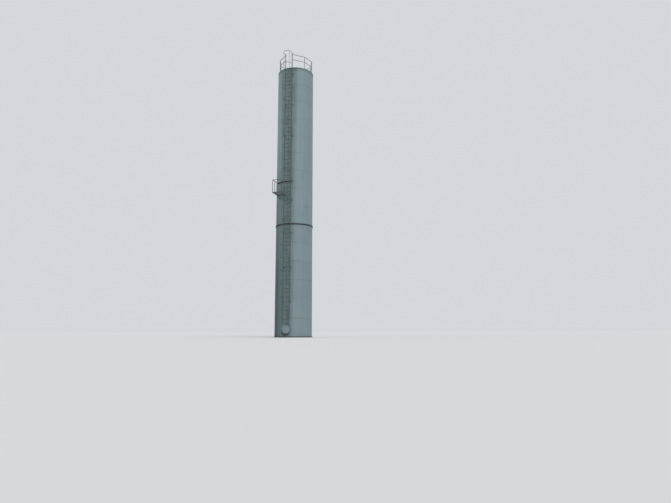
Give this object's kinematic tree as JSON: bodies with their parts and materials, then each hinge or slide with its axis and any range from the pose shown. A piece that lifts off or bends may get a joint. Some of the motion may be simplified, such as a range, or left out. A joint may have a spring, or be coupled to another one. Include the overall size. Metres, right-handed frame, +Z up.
{
  "type": "steel column water tower",
  "caption": "Tall round steel water tower of one width, with a caged ladder, a rest platform half-way up, a bolted manhole at the foot and a railing round the flat roof.",
  "frame": {"origin": "middle of the flat underside of the base plate, on the tank's axis", "axes": "+Z up along the tank's axis; the ladder, its cage and the manhole are centred on the -Y side; +X to the right of someone who faces the ladder"},
  "size_m": [3.097, 3.924, 23.68],
  "materials": {
    "tank_paint": "weathered grey-green paint on rolled steel plate",
    "fitting_paint": "darker grey-green paint on flanges and plates",
    "ladder_paint": "dark grey paint on flat bar, round bar and tube"
  },
  "bodies": {
    "root": {"base_plate": "fitting_paint", "lower_wall_1": "tank_paint", "lower_wall_2": "tank_paint", "lower_wall_3": "tank_paint", "lower_wall_4": "tank_paint", "lower_wall_5": "tank_paint", "lower_wall_6": "tank_paint", "lower_wall_7": "tank_paint", "lower_wall_8": "tank_paint", "upper_wall_1": "tank_paint", "upper_wall_2": "tank_paint", "upper_wall_3": "tank_paint", "upper_wall_4": "tank_paint", "upper_wall_5": "tank_paint", "upper_wall_6": "tank_paint", "upper_wall_7": "tank_paint", "upper_wall_8": "tank_paint", "joint_flange_lower": "fitting_paint", "joint_flange_upper": "fitting_paint", "roof_plate": "tank_paint", "hatch_curb": "fitting_paint", "hatch_cover": "fitting_paint", "roof_vent": "fitting_paint", "manhole_neck": "fitting_paint", "manhole_flange": "fitting_paint", "manhole_cover": "fitting_paint", "ladder_1": "ladder_paint", "ladder_2": "ladder_paint", "ladder_3": "ladder_paint", "ladder_4": "ladder_paint", "cage_1": "ladder_paint", "cage_2": "ladder_paint", "cage_3": "ladder_paint", "cage_4": "ladder_paint", "platform_floor": "ladder_paint", "platform_bracket_left": "ladder_paint", "platform_bracket_right": "ladder_paint", "platform_railing": "ladder_paint", "platform_wall_band": "ladder_paint", "roof_railing_right_front": "ladder_paint", "roof_railing_right_back": "ladder_paint", "roof_railing_left_front": "ladder_paint", "roof_railing_left_back": "ladder_paint"}
  },
  "joints": []
}
